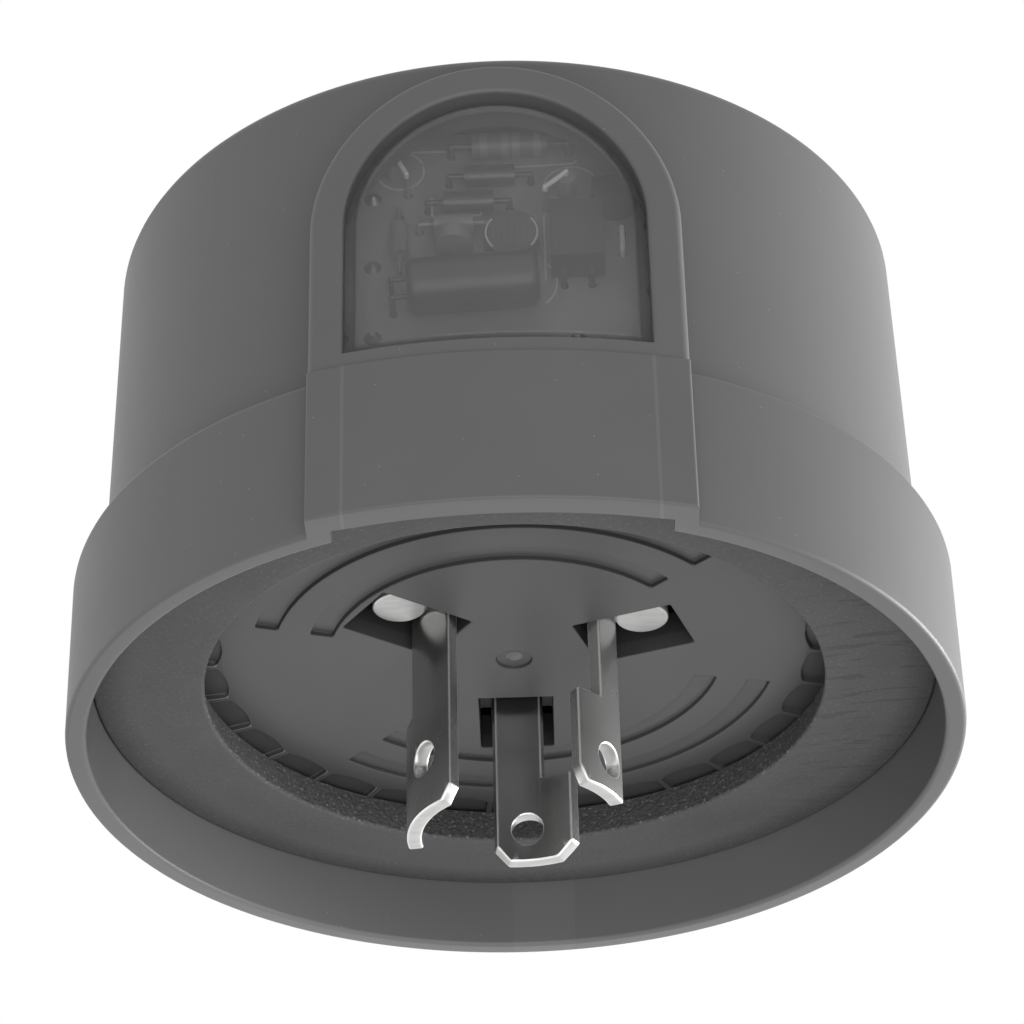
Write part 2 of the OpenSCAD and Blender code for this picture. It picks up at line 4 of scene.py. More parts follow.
import json
import math
from typing import NamedTuple

import bpy
from mathutils import Matrix, Vector

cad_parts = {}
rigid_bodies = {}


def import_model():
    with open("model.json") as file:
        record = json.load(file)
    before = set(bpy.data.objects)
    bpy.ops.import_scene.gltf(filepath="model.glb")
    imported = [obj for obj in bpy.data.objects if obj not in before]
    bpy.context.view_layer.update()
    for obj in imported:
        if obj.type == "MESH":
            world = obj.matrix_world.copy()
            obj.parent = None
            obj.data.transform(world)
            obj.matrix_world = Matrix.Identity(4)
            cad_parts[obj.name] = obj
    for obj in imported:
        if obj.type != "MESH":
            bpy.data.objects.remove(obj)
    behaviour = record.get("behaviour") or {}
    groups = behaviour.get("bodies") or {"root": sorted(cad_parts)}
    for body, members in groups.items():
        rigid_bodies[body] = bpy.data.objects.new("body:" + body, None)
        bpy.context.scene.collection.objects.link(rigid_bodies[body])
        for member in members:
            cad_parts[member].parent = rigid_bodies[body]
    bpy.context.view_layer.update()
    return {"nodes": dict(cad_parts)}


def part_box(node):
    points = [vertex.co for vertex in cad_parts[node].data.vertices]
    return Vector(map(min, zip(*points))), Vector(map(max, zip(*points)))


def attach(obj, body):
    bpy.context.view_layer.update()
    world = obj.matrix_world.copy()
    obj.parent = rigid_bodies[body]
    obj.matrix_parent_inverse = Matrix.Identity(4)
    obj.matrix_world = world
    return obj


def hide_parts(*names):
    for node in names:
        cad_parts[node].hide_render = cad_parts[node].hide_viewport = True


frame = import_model()

bl_info = {
    "name": "Photocell Switch",
    "version": (1, 0, 0),
    "blender": (4, 5, 0),
    "location": "View3D > Sidebar > Photocell",
    "description": "Builds the looks of a plug-in photocell switch round its packed solids",
    "category": "Object",
}

MM = 0.001
BODY = "root"
COVER_LOW, COVER_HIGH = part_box("cover")
LENS_LOW, LENS_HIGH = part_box("window_lens")
BASE_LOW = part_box("base_plate")[0]
FOAM_LOW, FOAM_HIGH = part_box("gasket")
BOARD_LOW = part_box("circuit_board")[0]
SENSOR_LOW, SENSOR_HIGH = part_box("photo_sensor")
# Where cuts that open downwards start, clear of the cover's rim
MOUTH = COVER_LOW.z - MM

# Meshes: what counts as one point, the steps round a turned piece, how far a rolled piece turns at each
# of its bends, and the angles from which an edge is rounded and is shaded sharp
SAME_POINT = 0.002 * MM
ROUND_STEPS = 240
BEND = 2.5
ROUNDED_FROM = math.radians(35)
SHARP_FROM = math.radians(30)

# Where the camera stands, how it is turned and its focal length in millimetres, to see the part as it is
# seen in the photograph
CAMERA_PLACE = Vector((5.2248, -279.9303, -164.4528)) * MM
CAMERA_TURN = (2.15391, 0.02013635, 0.03148803)
CAMERA_FOCAL_LENGTH = 120.3115


class Blade(NamedTuple):
    """What sets one blade apart: turns round the plug's axis in degrees, and lengths in metres.

    A cut is the width and height taken off a corner of the tip."""

    slot_turn: float
    wide_start: float
    root_start: float
    end: float
    hole_turn: float
    hole_drop: float
    start_cut: tuple = None
    end_cut: tuple = None


BLADES = {
    "neutral_blade": Blade(
        slot_turn=215.5,
        wide_start=171,
        root_start=201.8,
        end=235.07,
        hole_turn=213.9,
        hole_drop=10.4 * MM,
        end_cut=(1 * MM, 1.4 * MM),
    ),
    "line_blade": Blade(
        slot_turn=341,
        wide_start=305,
        root_start=321.43,
        end=342,
        hole_turn=328.1,
        hole_drop=11 * MM,
        start_cut=(0.8 * MM, 1.6 * MM),
    ),
    "load_blade": Blade(
        slot_turn=90.6,
        wide_start=56.4,
        root_start=75.8,
        end=104.2,
        hole_turn=85.4,
        hole_drop=10.2 * MM,
        start_cut=(1.7 * MM, 1.4 * MM),
        end_cut=(1.3 * MM, 1.5 * MM),
    ),
}


# Settings


def length(name, description, default):
    """A size in metres that a user may change."""
    return bpy.props.FloatProperty(
        name=name, description=description, default=default, min=0, unit="LENGTH", precision=5
    )


def tint(name, description, default):
    """A colour that a user may change."""
    return bpy.props.FloatVectorProperty(
        name=name, description=description, default=default, size=3, min=0, max=1, subtype="COLOR"
    )


def power(name, description, default):
    """The power of a light that a user may change."""
    return bpy.props.FloatProperty(
        name=name, description=description, default=default, min=0, unit="POWER"
    )


class CoverSettings(bpy.types.PropertyGroup):
    """Sizes and colours of the moulded cover and its window."""

    skirt_radius: length("Skirt radius", "Outer radius of the skirt", COVER_HIGH.x)
    skirt_wall: length("Skirt wall", "Wall of the skirt", 2 * MM)
    skirt_top: length("Skirt top", "Height of the skirt's upper edge", 8.9 * MM)
    body_step: length("Body step", "How far the body stands in from the skirt", 2.8 * MM)
    body_draft: length("Body draft", "How much the body narrows to its top", 0.45 * MM)
    body_wall: length("Body wall", "Wall and top of the body", 2.2 * MM)
    ledge: length("Ledge", "Height of the ledge that the base sits against", 7.2 * MM)
    rim_round: length("Rim rounding", "Rounding of the rim's edges", 0.45 * MM)
    step_round: length("Step rounding", "Rounding of the skirt's upper edge", 0.7 * MM)
    step_fillet: length("Step fillet", "Fillet between the skirt and the body", 0.6 * MM)
    top_round: length("Top rounding", "Rounding of the top edge", 1.4 * MM)
    boss_half: length("Boss half-width", "Half the width of the window boss", 16.5 * MM)
    boss_radius: length("Boss face radius", "Radius of the boss's curved face", 58 * MM)
    boss_proud: length("Boss height", "How far the boss stands out from the skirt", 1.25 * MM)
    boss_wall: length("Boss wall", "Thickness of the boss's face", 2 * MM)
    boss_side: length("Boss side wall", "Side wall of the boss's hollow", 2 * MM)
    boss_round: length("Boss rounding", "Rounding of the boss's outer edge", 0.6 * MM)
    boss_root: length("Boss root", "Distance in front of the axis where the boss starts", 20 * MM)
    hollow_root: length("Hollow root", "Distance in front of the axis where the hollow starts", 24 * MM)
    window_round: length("Window rounding", "Rounding of the window's edge", 0.45 * MM)
    panel_proud: length("Panel height", "How far the lower panel stands out", 0.35 * MM)
    panel_side: length("Panel side", "How much wider the panel is than the frame", 0.05 * MM)
    panel_top: length("Panel top", "Height of the lower panel's upper edge", 8.2 * MM)
    panel_round: length("Panel rounding", "Rounding of the lower panel's edge", 0.25 * MM)
    arch_centre: length("Arch centre", "Height of the arch's centre", 23.85 * MM)
    window_half: length("Window half-width", "Half the width of the window", 13.4 * MM)
    sill: length("Sill", "Height of the window's sill", 9.9 * MM)
    lens_thickness: length("Lens thickness", "Thickness of the lens", 2 * MM)
    lens_play: length("Lens play", "Room round the lens in its pocket", 0.15 * MM)
    lens_gap: length("Lens gap", "Gap between the lens and the boss's face wall", 0.01 * MM)
    pane_gap: length("Pane gap", "Gap between the raised pane and the frame", 0.8 * MM)
    pane_rise: length("Pane rise", "How far the pane stands out into the opening", 1.2 * MM)
    pane_round: length("Pane rounding", "Rounding of the pane's edge", 0.5 * MM)
    colour: tint("Cover colour", "Colour of the moulded plastic", (0.108, 0.108, 0.11))
    lens_colour: tint("Lens colour", "Colour of the window's haze", (0.23, 0.23, 0.235))


class BaseSettings(bpy.types.PropertyGroup):
    """Sizes and colours of the base, foam ring and blades."""

    edge_round: length("Edge rounding", "Rounding of the base's edges", 0.18 * MM)
    pocket_cut: length("Pocket cut", "Depth of the pockets in the base's solid", 1.3 * MM)
    pocket_depth: length("Pocket depth", "Depth of the pockets round the base", 0.6 * MM)
    pocket_radius: length("Pocket radius", "Radius within which the base has no pockets", 27 * MM)
    blade_round: length("Blade rounding", "Rounding of the stamped blades' edges", 0.22 * MM)
    blade_radius: length("Blade radius", "Outer radius of the blades", 10.3 * MM)
    blade_thickness: length("Blade thickness", "Thickness of the blades", 1.4 * MM)
    blade_hole: length("Blade hole", "Radius of the hole in each blade", 1.6 * MM)
    notch_drop: length("Notch drop", "How far down the locking notch ends", 4.7 * MM)
    lug_foot: length("Lug height", "Height of the lug's underside", 4.8 * MM)
    lug_radius: length("Lug radius", "Radius of the round lug", 2.5 * MM)
    lug_place: length("Lug place", "Distance of the lug's middle from the axis", 12.95 * MM)
    neck_width: length("Neck width", "Width of the neck between blade and lug", 1.4 * MM)
    strip_width: length("Strip width", "Width of the strip that folds over the bridge", 1.8 * MM)
    strip_thickness: length("Strip thickness", "Thickness of that strip", 1.2 * MM)
    strip_inset: length("Strip inset", "How far the strip stands in from the lug's end", 0.2 * MM)
    strip_fold: length("Strip fold", "Length of the strip's fold over the bridge", 3.65 * MM)
    foam_bore: length("Foam bore", "Inner radius of the foam ring on the base", 30.4 * MM)
    lip_lean: length("Lip lean", "How far the foam's inner lip leans in", 1.1 * MM)
    seal_radius: length("Seal radius", "Inner radius of the foam's flat face", 35 * MM)
    foam_round: length("Foam rounding", "Rounding of the foam ring's edges", 0.35 * MM)
    foam_swell: length("Foam swell", "How far the foam ring swells towards the skirt", 0.15 * MM)
    colour: tint("Base colour", "Colour of the moulded base", (0.075, 0.075, 0.077))
    foam_colour: tint("Foam colour", "Colour of the foam ring", (0.1, 0.1, 0.102))
    blade_colour: tint("Blade colour", "Colour of the plated blades", (0.6, 0.6, 0.59))


class BoardSettings(bpy.types.PropertyGroup):
    """Sizes and colours of the circuit board and what it carries."""

    print_height: length("Print height", "How far the printed marks stand proud", 0.05 * MM)
    print_root: length("Print root", "How deep the printed marks are rooted", 0.02 * MM)
    print_width: length("Print width", "Width of the printed lines", 0.2 * MM)
    standing_height: length("Standing height", "Height of the standing parts' coat", 2.85 * MM)
    track_width: length("Track width", "Width of the light cell's wound track", 0.18 * MM)
    colour: tint("Board colour", "Colour of the board's mask", (0.245, 0.245, 0.245))
    track_colour: tint("Track colour", "Colour of the light cell's track", (0.1, 0.1, 0.1))
    print_colour: tint("Print colour", "Colour of the printed marks", (0.5, 0.5, 0.5))


class StageSettings(bpy.types.PropertyGroup):
    """Light and floor."""

    floor_drop: length("Floor drop", "How far the floor lies below the part's origin", 0.8)
    floor_size: length("Floor size", "Width of the floor", 6)
    floor_colour: tint("Floor colour", "Colour of the floor and background", (1, 1, 1))
    soft_light: bpy.props.FloatProperty(
        name="Soft light", description="Strength of the light from all round", default=0.58, min=0
    )
    front_power: power("Front light", "Power of the soft light low in front", 0.85)
    back_power: power("Back light", "Power of the broad light low behind", 1.5)
    right_power: power("Right light", "Power of the light from behind on the right", 3.9)
    left_power: power("Left light", "Power of the light from behind on the left", 0.25)


# Modelling helpers


def clear_selection():
    """Leaves nothing selected, in object mode."""
    if bpy.context.object and bpy.context.object.mode != "OBJECT":
        bpy.ops.object.mode_set(mode="OBJECT")
    bpy.ops.object.select_all(action="DESELECT")


def pick(piece):
    """Leaves one object selected and active, in object mode."""
    clear_selection()
    piece.select_set(True)
    bpy.context.view_layer.objects.active = piece


def called(name, piece):
    """Gives an object and its mesh one name."""
    piece.name = name
    piece.data.name = name
    return piece


def chain(name, points):
    """A line of edges through the points, left in edit mode with all of it selected."""
    clear_selection()
    bpy.ops.mesh.primitive_plane_add(size=MM)
    piece = called(name, bpy.context.object)
    bpy.ops.object.mode_set(mode="EDIT")
    bpy.ops.mesh.select_all(action="SELECT")
    bpy.ops.mesh.merge(type="CENTER")
    bpy.ops.transform.translate(value=points[0])
    for here, there in zip(points, points[1:]):
        bpy.ops.mesh.extrude_region_move(TRANSFORM_OT_translate={"value": there - here})
    bpy.ops.mesh.select_all(action="SELECT")
    return piece


def close_shape(piece):
    """Merges doubles, turns the faces outwards and leaves edit mode."""
    bpy.ops.mesh.select_all(action="SELECT")
    bpy.ops.mesh.remove_doubles(threshold=SAME_POINT)
    bpy.ops.mesh.normals_make_consistent(inside=False)
    bpy.ops.object.mode_set(mode="OBJECT")
    return piece


def turned(name, profile):
    """A profile of (radius, height) turned all the way round Z."""
    piece = chain(name, [Vector((r, 0, z)) for r, z in profile])
    bpy.ops.mesh.spin(steps=ROUND_STEPS, angle=2 * math.pi, center=(0, 0, 0), axis=(0, 0, 1))
    return close_shape(piece)


def slab(name, outline, depth):
    """A flat outline filled and drawn out along depth."""
    piece = chain(name, outline)
    bpy.ops.mesh.edge_face_add()
    bpy.ops.mesh.extrude_region_move(TRANSFORM_OT_translate={"value": depth})
    return close_shape(piece)


def drum(name, radius, centre, depth, vertices, tilt=0.0):
    """A cylinder, upright or tilted about X."""
    clear_selection()
    bpy.ops.mesh.primitive_cylinder_add(
        vertices=vertices, radius=radius, depth=depth, location=centre, rotation=(tilt, 0, 0)
    )
    bpy.ops.object.transform_apply(location=True, rotation=True, scale=True)
    return called(name, bpy.context.object)


def bar(name, turn, near, far, width, low, high):
    """A straight bar along a turn, between two distances from the axis and two heights."""
    along = Vector((math.cos(math.radians(turn)), math.sin(math.radians(turn)), 0))
    across = Vector((-along.y, along.x, 0)) * (width / 2)
    foot = Vector((0, 0, low))
    start, end = along * near + foot, along * far + foot
    outline = [start - across, end - across, end + across, start + across]
    return slab(name, outline, Vector((0, 0, high - low)))


def rolled(piece, inner, middle, first, last):
    """Rolls a flat piece round Z: its X becomes the way round and its Y the way out."""
    pick(piece)
    bpy.ops.object.mode_set(mode="EDIT")
    bends = math.ceil((last - first) / BEND)
    for i in range(1, bends):
        along = math.radians(first + (last - first) * i / bends) * middle
        bpy.ops.mesh.select_all(action="SELECT")
        bpy.ops.mesh.bisect(plane_co=(along, 0, 0), plane_no=(1, 0, 0))
    bpy.ops.object.mode_set(mode="OBJECT")
    for vertex in piece.data.vertices:
        turn, out = vertex.co.x / middle, inner + vertex.co.y
        vertex.co = (out * math.cos(turn), out * math.sin(turn), vertex.co.z)
    bpy.ops.object.mode_set(mode="EDIT")
    return close_shape(piece)


def lofted(name, rows):
    """A closed skin over rows of points, each row a loop and each joined to the next."""
    clear_selection()
    across = len(rows[0])
    bpy.ops.mesh.primitive_grid_add(x_subdivisions=across, y_subdivisions=len(rows) - 1)
    piece = called(name, bpy.context.object)
    points = [point for row in rows for point in row + row[:1]]
    for vertex, point in zip(piece.data.vertices, points):
        vertex.co = point
    bpy.ops.object.mode_set(mode="EDIT")
    return close_shape(piece)


def ribbon(name, path, width, low, high):
    """A flat strip along a path of (x, z), from y = low to y = high."""
    rows = []
    for i, (x, z) in enumerate(path):
        ahead = path[min(i + 1, len(path) - 1)]
        behind = path[max(i - 1, 0)]
        way = Vector((ahead[0] - behind[0], 0, ahead[1] - behind[1])).normalized()
        side = Vector((-way.z, 0, way.x)) * (width / 2)
        here = Vector((x, 0, z))
        left, right = here + side, here - side
        corners = ((left, low), (left, high), (right, high), (right, low))
        rows.append([Vector((point.x, y, point.z)) for point, y in corners])
    first, last = (sum(row, Vector()) / 4 for row in (rows[0], rows[-1]))
    return lofted(name, [[first] * 4] + rows + [[last] * 4])


def joined(name, pieces):
    """Several pieces as one."""
    clear_selection()
    for piece in pieces:
        piece.select_set(True)
    bpy.context.view_layer.objects.active = pieces[0]
    bpy.ops.object.join()
    return called(name, pieces[0])


def combine(piece, tool, operation):
    """Joins, cuts or trims a piece with a tool, which is then removed."""
    change = piece.modifiers.new(operation, "BOOLEAN")
    change.operation = operation
    change.solver = "EXACT"
    change.object = tool
    pick(piece)
    bpy.ops.object.modifier_apply(modifier=change.name)
    bpy.data.objects.remove(tool, do_unlink=True)


def soften(piece, width, segments):
    """Rounds every sharp edge."""
    change = piece.modifiers.new("Rounding", "BEVEL")
    change.width = width
    change.segments = segments
    change.limit_method = "ANGLE"
    change.angle_limit = ROUNDED_FROM
    change.use_clamp_overlap = False
    pick(piece)
    bpy.ops.object.modifier_apply(modifier=change.name)


def smooth(piece):
    """Shades a piece smooth except at its sharp edges, with the large faces leading."""
    pick(piece)
    bpy.ops.object.shade_smooth_by_angle(angle=SHARP_FROM)
    change = piece.modifiers.new("Weighted", "WEIGHTED_NORMAL")
    change.keep_sharp = True
    bpy.ops.object.modifier_apply(modifier=change.name)


def arc(centre, radius, start, end, steps):
    """Points of (x, z) on part of a circle, in degrees, both ends included."""
    return [
        (
            centre[0] + radius * math.cos(math.radians(start + (end - start) * i / steps)),
            centre[1] + radius * math.sin(math.radians(start + (end - start) * i / steps)),
        )
        for i in range(steps + 1)
    ]


def ramp(start, end, steps):
    """Points evenly spread from one point of (x, z) to another, without the first."""
    return [
        (start[0] + (end[0] - start[0]) * i / steps, start[1] + (end[1] - start[1]) * i / steps)
        for i in range(1, steps + 1)
    ]


def copied(node, name):
    """A merged copy of a CAD node's own mesh, as a new piece."""
    pick(frame["nodes"][node])
    bpy.ops.object.duplicate()
    piece = called(name, bpy.context.object)
    bpy.ops.object.parent_clear(type="CLEAR_KEEP_TRANSFORM")
    for key in list(piece.keys()):
        del piece[key]
    if piece.data.has_custom_normals:
        bpy.ops.mesh.customdata_custom_splitnormals_clear()
    bpy.ops.object.mode_set(mode="EDIT")
    bpy.ops.mesh.select_all(action="SELECT")
    bpy.ops.mesh.remove_doubles(threshold=SAME_POINT)
    bpy.ops.object.mode_set(mode="OBJECT")
    return piece


def fit(piece, finish, node=None):
    """Gives a modelled piece its finish, fixes it to the part and lets it stand for a CAD node."""
    piece.data.materials.clear()
    piece.data.materials.append(finish)
    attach(piece, BODY)
    if node:
        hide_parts(node)


def repaint(node, finish):
    """Gives a CAD node that is shown as it is a better finish."""
    for slot in frame["nodes"][node].material_slots:
        slot.material = finish


# Finishes

# pale tinned wire on an unmetallic coat, so its pale colour is a painted glint
TINNED_GLINT = (0.85, 0.85, 0.84)


class Value:
    """What a node puts out, for use in plain arithmetic."""

    def __init__(self, finish, socket):
        self.finish = finish
        self.socket = socket

    def maths(self, operation, *others):
        """This value and others, put through one step of arithmetic."""
        terms = dict(enumerate((self,) + others))
        return self.finish.node("ShaderNodeMath", {"operation": operation}, terms)

    def __add__(self, other):
        return self.maths("ADD", other)

    __radd__ = __add__

    def __sub__(self, other):
        return self.maths("SUBTRACT", other)

    def __rsub__(self, other):
        return self * -1 + other

    def __mul__(self, other):
        return self.maths("MULTIPLY", other)

    __rmul__ = __mul__

    def __abs__(self):
        return self.maths("ABSOLUTE")

    def above(self, level):
        """1 where the value is above a level, 0 elsewhere."""
        return self.maths("GREATER_THAN", level)

    def below(self, level):
        """1 where the value is below a level, 0 elsewhere."""
        return self.maths("LESS_THAN", level)


class Finish:
    """The node tree of a material or a world under construction, with one shader at its end."""

    def __init__(self, block, shader="Principled BSDF", output="Material Output"):
        block.use_nodes = True
        self.block = block
        self.tree = block.node_tree
        self.shader = self.tree.nodes[shader]
        self.surface = self.tree.nodes[output].inputs["Surface"]

    def node(self, kind, settings=None, sockets=None, output=0):
        """Adds a node, sets it up, fills its sockets and gives one of its outputs."""
        node = self.tree.nodes.new(kind)
        for key, value in (settings or {}).items():
            setattr(node, key, value)
        for key, value in (sockets or {}).items():
            self.fill(node.inputs[key], value)
        return Value(self, node.outputs[output])

    def fill(self, socket, value):
        """Links a value to a socket, or sets a plain number or colour on it."""
        if isinstance(value, Value):
            self.tree.links.new(value.socket, socket)
        else:
            socket.default_value = value

    def set(self, **sockets):
        """Fills the shader's own sockets, named with underscores for spaces."""
        for key, value in sockets.items():
            self.fill(self.shader.inputs[key.replace("_", " ")], value)

    def coordinates(self, scale=(1, 1, 1)):
        """The piece's own coordinates, stretched by a scale."""
        where = self.node("ShaderNodeTexCoord", output="Object")
        return self.node("ShaderNodeMapping", {}, {"Vector": where, "Scale": scale})

    def noise(self, scale, detail, stretch=(1, 1, 1)):
        """Soft noise, finer with a larger scale."""
        where = self.coordinates(stretch)
        return self.node(
            "ShaderNodeTexNoise", {}, {"Vector": where, "Scale": scale, "Detail": detail}
        )

    def cells(self, scale):
        """Distance from the middle of the nearest cell of an uneven pattern."""
        return self.node("ShaderNodeTexVoronoi", {}, {"Vector": self.coordinates(), "Scale": scale})

    def blend(self, factor, first, second):
        """A colour between two colours."""
        return self.node(
            "ShaderNodeMix",
            {"data_type": "RGBA"},
            {"Factor": factor, 6: first, 7: second},
            output=2,
        )

    def bump(self, height, strength, distance):
        """A surface roughened by a height."""
        return self.node(
            "ShaderNodeBump", {}, {"Height": height, "Strength": strength, "Distance": distance}
        )

    def along(self, axis):
        """The piece's own coordinate along one axis."""
        where = self.node("ShaderNodeTexCoord", output="Object")
        return self.node("ShaderNodeSeparateXYZ", {}, {"Vector": where}, output=axis)

    def out(self):
        """Distance from the plug's axis."""
        flat = self.coordinates((1, 1, 0))
        return self.node("ShaderNodeVectorMath", {"operation": "LENGTH"}, {0: flat}, "Value")

    def facing(self):
        """The way that the surface faces."""
        return self.node("ShaderNodeNewGeometry", output="Normal")

    def level(self):
        """How nearly a face lies level: 1 when it does, 0 when it stands upright."""
        return abs(self.node("ShaderNodeSeparateXYZ", {}, {"Vector": self.facing()}, "Z"))

    def spread(self, value, low, high):
        """The value's way from low to high, held between 0 and 1."""
        return self.node(
            "ShaderNodeMapRange", {}, {"Value": value, "From Min": low, "From Max": high}
        )

    def seen_plain(self, kind, colour):
        """Shows one plain colour to the camera, in reflections and through clear parts."""
        seen = 0.0
        for ray in ("Is Camera Ray", "Is Glossy Ray", "Is Transmission Ray"):
            seen = self.node("ShaderNodeLightPath", output=ray).maths("MAXIMUM", seen)
        plain = self.node(kind, {}, {"Color": colour, "Strength": 1.0})
        lit = Value(self, self.shader.outputs[0])
        self.fill(self.surface, self.node("ShaderNodeMixShader", {}, {0: seen, 1: lit, 2: plain}))


def material(name):
    """A new material, ready to be finished."""
    return Finish(bpy.data.materials.new(name))


def shade(colour, factor):
    """A colour made lighter or darker, ready for a socket."""
    return tuple(min(1, channel * factor) for channel in colour) + (1,)


def halfway(share):
    """1 on a rounded edge, halfway between the faces where a share is 0 and 1, and 0 on those faces."""
    return 4 * share * share * (1 - share * share)


def moulded_plastic(name, settings, roughness, specks, marks_and_light):
    """Satin moulded plastic with a fine grain, slow mottling, its own marks with painted light and
    shade, and a little dust.
    """
    finish = material(name)
    colour = settings.colour
    mottle = finish.noise(90, 4)
    grain = finish.noise(2600, 2)
    dust = finish.cells(520).below(specks)
    plain = finish.blend(mottle, shade(colour, 0.93), shade(colour, 1.07))
    finish.set(
        # marks_and_light paints shade and highlights into the colour, along with the moulding's own
        # marks
        Base_Color=finish.blend(dust * 0.4, marks_and_light(finish, plain, settings), shade(colour, 3.2)),
        Roughness=roughness - 0.06 + 0.12 * mottle + 0.06 * grain,
        Specular_IOR_Level=0.35,
        Normal=finish.bump(grain, 0.12, 0.05 * MM),
    )
    return finish.block


def cover_light_and_marks(finish, plain, s):
    """Painted light that makes the inside of the skirt's far part paler, with a faint moulding mark
    there, and a faint seam down the panel below each side of the window."""
    skin, shelf = 0.1 * MM, 4 * MM
    mark_middle, mark_half = 1.7 * MM, 3.2 * MM
    seam_half = 0.14 * MM
    panel_front, panel_head = -36 * MM, s.panel_top + 0.2 * MM
    x, y, z = (finish.along(axis) for axis in "XYZ")
    # painted light: the inside of the skirt's far part is made paler, more so towards the far side
    inside = finish.out().below(s.skirt_radius - skin) * z.below(shelf)
    far = finish.spread(y, 0.0, 30 * MM)
    mark = abs(x - mark_middle).below(mark_half)
    seams = abs(abs(x) - s.window_half).below(seam_half)
    panel = y.below(panel_front) * z.below(panel_head)
    base = finish.blend(inside * far, plain, shade(s.colour, 1.4))
    base = finish.blend(0.15 * inside * far * mark, base, shade(s.colour, 2.2))
    return finish.blend(0.3 * seams * panel, base, shade(s.colour, 1.7))


def base_painted_light(finish, plain, s):
    """Painted shade in the slots and grooves, a painted highlight on the nub at the centre, and painted
    highlights on the rims of the pockets at the left."""
    face, nub_radius = BASE_LOW.z + 0.05 * MM, 0.8 * MM
    slot_depths = (BASE_LOW.z + 0.55 * MM, BASE_LOW.z + 1.75 * MM)
    left_side = (-6 * MM, -18 * MM)
    out, height, level = finish.out(), finish.along("Z"), finish.level()
    # painted shade: the walls and deeper parts of the slots and grooves are darkened, inside the pocket
    # radius only
    walls = (1 - level) * height.above(face)
    deep = finish.spread(height, *slot_depths)
    painted_shade = (0.75 * walls).maths("MAXIMUM", deep) * out.below(s.pocket_radius)
    # painted highlights on the rounded rims of the pockets, only at the left
    rims = halfway(level) * out.above(s.pocket_radius)
    left = finish.spread(finish.along("X"), *left_side)
    # painted highlight on the nub in the centre dimple
    nub_highlight = out.below(nub_radius) * finish.noise(900, 2)
    base = finish.blend(painted_shade, plain, shade(s.colour, 0.4))
    base = finish.blend(rims * left, base, shade(s.colour, 4))
    return finish.blend(nub_highlight, base, shade(s.colour, 2.6))


def foam_rubber(name, colour):
    """Closed-cell foam: skinned on its flat faces, with open cells on its cut edges.

    The skin has a painted sheen at the far side, is creased on the right, and is pitted and darkened
    with painted shade towards the skirt."""
    far_side, right_side = (27 * MM, 38 * MM), (24 * MM, 32 * MM)
    skirt_side = (36.6 * MM, 39.6 * MM)
    finish = material(name)
    cut = 1 - finish.level()
    fine = finish.noise(2900, 4)
    mottle = finish.noise(140, 4)
    glints = finish.cells(1500).below(0.24)
    pores = 2.2 * fine - 0.6
    # painted sheen: the skin is made paler towards the far side
    far = finish.spread(finish.along("Y"), *far_side)
    creases = finish.noise(1300, 2, (0.1, 1, 1)).above(0.6)
    right = finish.spread(finish.along("X"), *right_side)
    # painted shade: the skin darkens towards the skirt's wall, broken up by pits
    pits_and_shade = finish.spread(finish.out(), *skirt_side) * (0.35 + 0.65 * finish.noise(1100, 3))
    skin = finish.blend(mottle, shade(colour, 0.85), shade(colour, 1.15))
    skin = finish.blend(far, skin, shade(colour, 1.45))
    skin = finish.blend(0.4 * creases * right, skin, shade(colour, 0.4))
    skin = finish.blend(pits_and_shade, skin, shade(colour, 0.5))
    torn = finish.blend(pores, shade(colour, 0.5), shade(colour, 1.7))
    speckle = finish.blend(glints * fine, torn, shade(colour, 4))
    finish.set(
        Base_Color=finish.blend(cut * 0.9 + 0.1, skin, speckle),
        Roughness=0.85 - 0.1 * fine,
        Specular_IOR_Level=0.3,
        Normal=finish.bump(pores * (cut * 0.93 + 0.07), 0.7, 0.2 * MM),
    )
    return finish.block


def plated_metal(name, colour):
    """Stamped, plated metal with pale tips and painted highlights on its edges.

    Its rolled faces are bright, darkened with painted shade at the far side, and less like a mirror on
    the right."""
    far_side, far_left = (6 * MM, 9 * MM), (4 * MM, 2.5 * MM)
    right_side = (4 * MM, 15 * MM)
    finish = material(name)
    tarnish = finish.noise(260, 5)
    scuffs = finish.noise(1500, 3, (0.3, 1, 1))
    level = finish.level()
    flat = finish.coordinates((1, 1, 0))
    outwards = finish.node("ShaderNodeVectorMath", {"operation": "NORMALIZE"}, {0: flat})
    broad = finish.node(
        "ShaderNodeVectorMath",
        {"operation": "DOT_PRODUCT"},
        {0: finish.facing(), 1: outwards},
        "Value",
    )
    # painted highlights: the rounded edges between rolled and cut faces are made paler
    edge = halfway(broad)
    worn = level.maths("MAXIMUM", 0.8 * edge)
    x, y = finish.along("X"), finish.along("Y")
    # painted shade: the far blade's rolled faces are darkened, except at its right
    painted_far_shade = finish.spread(y, *far_side) * finish.spread(x, *far_left)
    right = finish.spread(x, *right_side)
    plate = finish.blend(tarnish, shade(colour, 0.86), shade(colour, 1.1))
    plate = finish.blend(0.5 * painted_far_shade, plate, shade(colour, 0.28))
    tip = finish.blend(scuffs, shade(colour, 0.6), shade(colour, 0.9))
    finish.set(
        Base_Color=finish.blend(edge, finish.blend(level, plate, tip), shade(colour, 1.4)),
        Metallic=0.96 - 0.495 * right - 0.35 * worn,
        Roughness=0.22 + 0.08 * tarnish + 0.12 * worn,
    )
    return finish.block


def clear_plastic(name, colour):
    """Clear plastic with a light uneven haze."""
    finish = material(name)
    haze = finish.noise(120, 4)
    finish.set(
        Base_Color=finish.blend(haze, shade(colour, 0.9), shade(colour, 1.1)),
        Roughness=0.08 + 0.08 * haze,
        Alpha=0.22 + 0.08 * haze,
    )
    return finish.block


